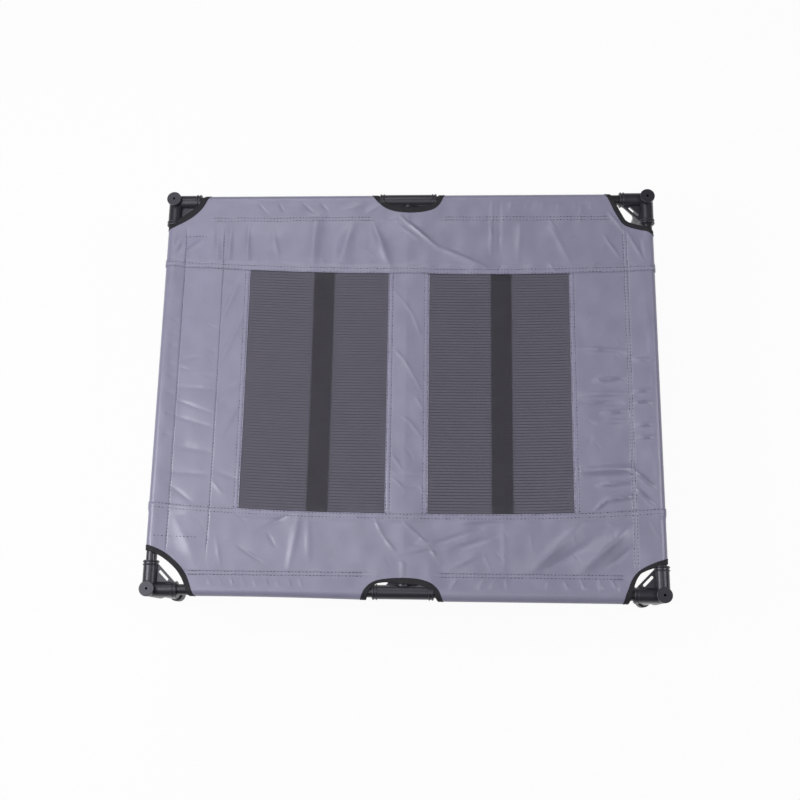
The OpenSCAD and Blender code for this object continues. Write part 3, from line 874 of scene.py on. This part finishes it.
webbing = {"thickness": 1.3, "depth": -2.3}
closure = {"thickness": 1.1, "depth": (-1.0, -2.2)}
for side in ("left", "right"):
    strap, width, length = stripPiece(side + "StrapWeb", side + "_strap", webbing["depth"],
                                      webbing["thickness"], bow["side"])
    settle(strap, "strapWebbing", "webbing", side + "_strap")
for kind, depth in zip(("loop", "hook"), closure["depth"]):
    strip, width, length = stripPiece(kind + "TapePile", kind + "_tape", depth, closure["thickness"])
    settle(strip, "closurePile", "closure_tape", kind + "_tape")
print("straps and closure tapes")

# Folded tape on the cut-outs


# Whether the tape's upper side looks down
def facesDown(points, face):
    a, b, c = (points[k] for k in face[:3])
    return np.cross(b - a, c - a)[2] < 0


def bindingPiece(name, edgeAt, width, node):
    section = [(width * share, tape["rise"]) for share in tape["flat"]]
    section += [(width - back, tape["rise"] * share) for back, share in tape["turn"]]
    section += [(e, -h) for e, h in reversed(section[:-1])]
    edges = [edgeAt(e) for e, h in section]
    cut = np.concatenate(edges)
    long, wide = len(edges[0]), len(section)
    steps = np.linalg.norm(np.diff(edges[0], axis=0), axis=1)
    travel = np.concatenate([[0], np.cumsum(steps)])
    weaveAt = np.column_stack([np.repeat(np.arange(wide) * tape["threadStep"], long), np.tile(travel, wide)])
    height = np.repeat([h for e, h in section], long) + topLift(*cut.T)
    faces = gridFaces(long, wide)
    points = layCover(*cut.T, height)
    if facesDown(points, faces[long // 2]):
        faces = [face[::-1] for face in faces]
    piece = thicken(newPiece(name, points, faces, weaveAt), tape["thickness"])
    settle(piece, "bindingTape", "edge_binding", node)


for corner in cutOuts:
    bindingPiece("cornerTape_" + corner, lambda e: cornerEdge(corner, e, tape["share"]), tape["corner"],
                 "binding_" + corner)
for end in ("front", "rear"):
    bindingPiece("gripTape_" + end, lambda e: gripEdge(end, e, tape["share"]), tape[end],
                 "grip_binding_" + end)
print("bindings")

# Net: flat warps side by side under thin wefts, every fourth weft a rib. The openings between the
# yarns of the real net are far finer than the picture shows, so the yarn lets the light through

net = {"pitch": 1.325, "warp": 1.325, "weft": 0.28, "rib": 1.3, "ribEvery": 4.0, "thickness": 0.25,
       "weftRise": 0.16, "weftSteps": 12, "warpSteps": 19, "below": -0.9}


# Sets the inputs whose names, in camel case, are among the values
def runTree(piece, tree, **values):
    modifier = piece.modifiers.new(tree.name, "NODES")
    modifier.node_group = tree
    for socket in tree.interface.items_tree:
        key = socket.name[0].lower() + socket.name[1:].replace(" ", "")
        if socket.in_out == "INPUT" and key in values:
            modifier[socket.identifier] = values[key]
    return bakePiece(piece)


def endTree(tree, instances, material, result):
    real = nodeOut(tree, "GeometryNodeRealizeInstances", Geometry=instances)
    done = nodeOut(tree, "GeometryNodeSetMaterial", Geometry=real, Material=material)
    tree.links.new(done, result["Geometry"])


def vector(tree, x=0.0, y=0.0, z=0.0):
    return nodeOut(tree, "ShaderNodeCombineXYZ", X=x, Y=y, Z=z)


# Warps are turned, from front to rear, and wefts go from left to right
def yarnsAcross(tree, given, turned):
    length, spread = (given["Depth"], given["Width"]) if turned else (given["Width"], given["Depth"])
    along, across = ("y", "x") if turned else ("x", "y")
    half = calc(tree, "MULTIPLY", length, 0.5)
    back = calc(tree, "MULTIPLY", half, -1.0)
    line = nodeOut(tree, "GeometryNodeCurvePrimitiveLine", Start=vector(tree, **{along: back}),
                   End=vector(tree, **{along: half}))
    steps = given["Warp Steps"] if turned else given["Weft Steps"]
    line = nodeOut(tree, "GeometryNodeResampleCurve", Curve=line, Count=steps)
    ring = nodeOut(tree, "GeometryNodeCurvePrimitiveCircle", Resolution=4, Radius=0.5)
    flat = vector(tree, x=given["Warp"] if turned else given["Weft"], y=given["Thickness"], z=1.0)
    ring = nodeOut(tree, "GeometryNodeTransform", Geometry=ring, Scale=flat)
    yarn = nodeOut(tree, "GeometryNodeCurveToMesh", Curve=line, Profile_Curve=ring, Fill_Caps=True)
    count = calc(tree, "ROUND", calc(tree, "DIVIDE", spread, given["Pitch"]))
    width = calc(tree, "MULTIPLY", calc(tree, "SUBTRACT", count, 1.0), given["Pitch"])
    start = vector(tree, **{across: calc(tree, "MULTIPLY", width, -0.5)})
    step = vector(tree, **{across: given["Pitch"]})
    points = nodeOut(tree, "GeometryNodeMeshLine", Count=count, Start_Location=start, Offset=step)
    rib, size = 0.0, vector(tree, x=1.0, y=1.0, z=1.0)
    if not turned:
        above = vector(tree, z=given["Weft Rise"])
        points = nodeOut(tree, "GeometryNodeSetPosition", Geometry=points, Offset=above)
        index = nodeOut(tree, "GeometryNodeInputIndex")
        rib = calc(tree, "LESS_THAN", calc(tree, "MODULO", index, given["Rib Every"]), 0.5)
        extra = calc(tree, "SUBTRACT", calc(tree, "DIVIDE", given["Rib"], given["Weft"]), 1.0)
        wider = calc(tree, "ADD", 1.0, calc(tree, "MULTIPLY", rib, extra))
        size = vector(tree, x=1.0, y=wider, z=1.0)
    laid = nodeOut(tree, "GeometryNodeInstanceOnPoints", Points=points, Instance=yarn, Scale=size)
    return nodeOut(tree, "GeometryNodeStoreNamedAttribute", {"data_type": "FLOAT", "domain": "INSTANCE"},
                   Geometry=laid, Name="rib", Value=rib)


def netTree():
    sizes = ("Width", "Depth", "Pitch", "Warp", "Weft", "Rib", "Rib Every", "Thickness", "Weft Rise")
    inputs = {**dict.fromkeys(sizes, "Float"), "Weft Steps": "Int", "Warp Steps": "Int",
              "Material": "Material"}
    tree, given, result = newTree("wovenNet", "GeometryNodeTree", inputs, {"Geometry": "Geometry"})
    joined = tree.nodes.new("GeometryNodeJoinGeometry")
    for turned in (True, False):
        tree.links.new(yarnsAcross(tree, given, turned), joined.inputs[0])
    endTree(tree, joined.outputs[0], given["Material"], result)
    return tree


netNodes = netTree()


def netPiece(side):
    width, depth = meshOuter - meshInner + 2 * cover["lap"], 2 * under
    piece = runTree(newPiece(side + "Net", [], []), netNodes, width=width, depth=depth,
                    material=materials["netYarn"], **net)
    spots = np.zeros(len(piece.data.vertices) * 3)
    piece.data.vertices.foreach_get("co", spots)
    a, b, c = spots.reshape(-1, 3).T
    u = outward[side] * (meshInner + meshOuter) / 2 + a
    piece.data.vertices.foreach_set("co", layCover(u, b, net["below"] + c).ravel())
    mapCut(piece.data, np.column_stack([u, b]))
    piece.data.update()
    settle(piece, "netYarn", "mesh", side + "_mesh")
    print("net:", piece.name, len(piece.data.polygons), "faces")


netPiece("left")
netPiece("right")

# Stitching

stitch = {
    "pitch": 6.2,
    "length": 4.0,
    "thread": 1.6,
    "shortest": 0.55,   # share of these that the smallest stitch has
    "seed": 3,
    "tackPitch": 3.1,   # close stitches at the ends of the sleeves' rows
    "tackLength": 0.8,  # share of the length
    "tackRun": 12,
    "pastRail": 8,      # how far the bands' rows go past the short rails
    "shortBy": 2,       # how far the panels' rows stay from the bands
    "closureTurn": 38,  # the closure's row turns in at its rear end
    "closureFront": (-440, -274, -368, -275),   # and has a row across its front
    "tapeShare": 0.5,   # share of the sleeves' length that the rows on the tapes go
    "cornerInset": 1.8,
    "gripInset": 1.6,
}


def stitchTree():
    inputs = {"Rows": "Geometry", "Pitch": "Float", "Length": "Float", "Thread": "Float",
              "Shortest": "Float", "Seed": "Int", "Material": "Material"}
    tree, given, result = newTree("stitchRow", "GeometryNodeTree", inputs, {"Geometry": "Geometry"})
    spots = addNode(tree, "GeometryNodeCurveToPoints", {"mode": "LENGTH"}, Curve=given["Rows"],
                    Length=given["Pitch"]).outputs
    bead = nodeOut(tree, "GeometryNodeMeshUVSphere", Segments=6, Rings=4, Radius=0.5)
    drawn = addNode(tree, "FunctionNodeRandomValue", {"data_type": "FLOAT"}, i2=given["Shortest"], i3=1.0,
                    Seed=given["Seed"]).outputs[1]
    thread, length = (calc(tree, "MULTIPLY", given[part], drawn) for part in ("Thread", "Length"))
    size = vector(tree, x=thread, y=thread, z=length)
    sewn = nodeOut(tree, "GeometryNodeInstanceOnPoints", Points=spots["Points"], Instance=bead,
                   Rotation=spots["Rotation"], Scale=size)
    endTree(tree, sewn, given["Material"], result)
    return tree


stitchNodes = stitchTree()


# Seams are lists of places on the cut cloth, with their height above its middle
def stitchPiece(name, seams, pitch=stitch["pitch"], length=stitch["length"]):
    curve = bpy.data.curves.new(name, "CURVE")
    curve.dimensions = "3D"
    for path, height in seams:
        spline = curve.splines.new("POLY")
        spline.points.add(len(path) - 1)
        spots = layCover(*path.T, height + topLift(*path.T))
        spline.points.foreach_set("co", np.column_stack([spots, np.ones(len(spots))]).ravel())
    piece = runTree(linkPiece(name, curve), stitchNodes, pitch=pitch * mm, length=length * mm,
                    thread=stitch["thread"] * mm, shortest=stitch["shortest"], seed=stitch["seed"],
                    material=materials["sewingThread"])
    settle(piece, "sewingThread", "cover_cloth")
    print("stitches:", name, len(piece.data.polygons), "faces")


onCloth = cover["cloth"] / 2
onTape = tape["rise"] + tape["thickness"] / 2


def seamRow(u0, v0, u1, v1, step=4):
    return dense([(u0, v0), (u1, v1)], step), onCloth


# Beside a net, from band to band
def panelRow(u):
    return seamRow(u, -seamY + stitch["shortBy"], u, seamY - stitch["shortBy"])


sleeveRows = {  # ends of the sleeves' rows along the long rails
    "rear": ((-366, -74), (72, 373)),
    "front": ((-375, -74), (67, 376)),
}
for end, stretches in sleeveRows.items():
    seams, tacks = [], []
    for at in sewnRows[end]["at"]:
        v = outward[end] * (halfWidth - at)
        for u0, u1 in stretches:
            seams.append(seamRow(u0, v, u1, v))
            for u, way in ((u0, 1), (u1, -1)):
                tacks.append(seamRow(u, v, u + way * stitch["tackRun"], v))
    bandEnd = halfLength + stitch["pastRail"]
    for at in foldedHem["rows"]:
        v = outward[end] * (seamY + at)
        seams.append(seamRow(-bandEnd, v, bandEnd, v))
    stitchPiece(end + "BandStitches", seams)
    stitchPiece(end + "BandTacks", tacks, stitch["tackPitch"], stitch["length"] * stitch["tackLength"])
panelRows = {}
for side in ("left", "right"):
    sewn = sewnRows[side]
    lines = [outward[side] * (halfLength - at) for at in sewn["at"]]
    panelRows[side] = [seamRow(u, sewn["from"], u, sewn["to"]) for u in lines]
    if side == "left":
        rearEnd = sewn["to"]
        panelRows[side].append(seamRow(lines[0], rearEnd, lines[0] + stitch["closureTurn"], rearEnd))
        panelRows[side].append(seamRow(*stitch["closureFront"]))
    panelRows[side] += [panelRow(outward[side] * (meshOuter + at)) for at in foldedHem["rows"]]
panelRows["centre"] = [panelRow(side * (meshInner - at)) for side in (-1, 1) for at in foldedHem["rows"]]
for panel, seams in panelRows.items():
    stitchPiece(panel + "PanelStitches", seams)
tapeRows = [(cornerEdge(corner, stitch["cornerInset"], stitch["tapeShare"]), onTape) for corner in cutOuts]
tapeRows += [(gripEdge(end, stitch["gripInset"], stitch["tapeShare"]), onTape) for end in ("front", "rear")]
stitchPiece("tapeStitches", tapeRows)

# Floor, light and camera

stage = {"size": 9.0, "white": 0.95, "colour": (0.9, 0.9, 0.9, 1)}


def floorMaterial():
    material, tree, shader = newMaterial("paleFloor", Roughness=0.8)
    shader.inputs["Base Color"].default_value = stage["colour"]
    path = addNode(tree, "ShaderNodeLightPath").outputs
    seen = calc(tree, "MAXIMUM", path["Is Camera Ray"], path["Is Glossy Ray"])
    seen = calc(tree, "MAXIMUM", seen, path["Is Transmission Ray"])
    glow = nodeOut(tree, "ShaderNodeEmission", Color=(1, 1, 1, 1), Strength=1.0)
    share = calc(tree, "MULTIPLY", seen, stage["white"])
    mix = addNode(tree, "ShaderNodeMixShader", i0=share, i1=shader.outputs[0], i2=glow)
    tree.links.new(mix.outputs[0], tree.nodes["Material Output"].inputs["Surface"])
    return material


half = stage["size"] / 2
corners = [(-half, -half, 0), (half, -half, 0), (half, half, 0), (-half, half, 0)]
floor = newPiece("floor", corners, [(0, 1, 2, 3)])
floor.data.materials.append(floorMaterial())

lamps = {       # place, size and power of each soft box, all turned to the middle of the cot
    "keyLeft": {"place": (-1.5, -0.3, 1.7), "size": (1.1, 0.9), "power": 22},
    "fillRight": {"place": (1.6, 0.0, 1.7), "size": (0.8, 0.9), "power": 10.5},
    "rear": {"place": (-0.5, 1.6, 2.0), "size": (1.2, 0.8), "power": 8.5},
    "overhead": {"place": (-0.35, -0.2, 2.5), "size": (2.3, 1.0), "power": 9},
}
lampColour = (0.98, 0.97, 1.0)
for name, lamp in lamps.items():
    data = bpy.data.lights.new(name, "AREA")
    data.shape = "RECTANGLE"
    data.size, data.size_y = lamp["size"]
    data.energy = lamp["power"]
    data.color = lampColour
    light = linkPiece(name, data)
    light.location = lamp["place"]
    aim = Vector((0, 0, railZ * mm)) - light.location
    light.rotation_euler = aim.to_track_quat("-Z", "Y").to_euler()

sky = {"Color": (0.98, 0.98, 1.0, 1), "Strength": 0.12}
world = bpy.data.worlds.new("studio")
world.use_nodes = True
for key, value in sky.items():
    world.node_tree.nodes["Background"].inputs[key].default_value = value
scene = bpy.context.scene
scene.world = world
scene.view_settings.view_transform = "Standard"

shot = {"place": (0.0832, -0.4593), "aboveRails": 1.8155, "turn": (13.557, 2.735, 0.881), "lens": 46.49,
        "sensor": 36}
camera = linkPiece("camera", bpy.data.cameras.new("camera"))
camera.location = (*shot["place"], railZ * mm + shot["aboveRails"])
camera.rotation_euler = [math.radians(angle) for angle in shot["turn"]]
camera.data.lens = shot["lens"]
camera.data.sensor_width = shot["sensor"]
scene.camera = camera
print("stage, lamps and camera")
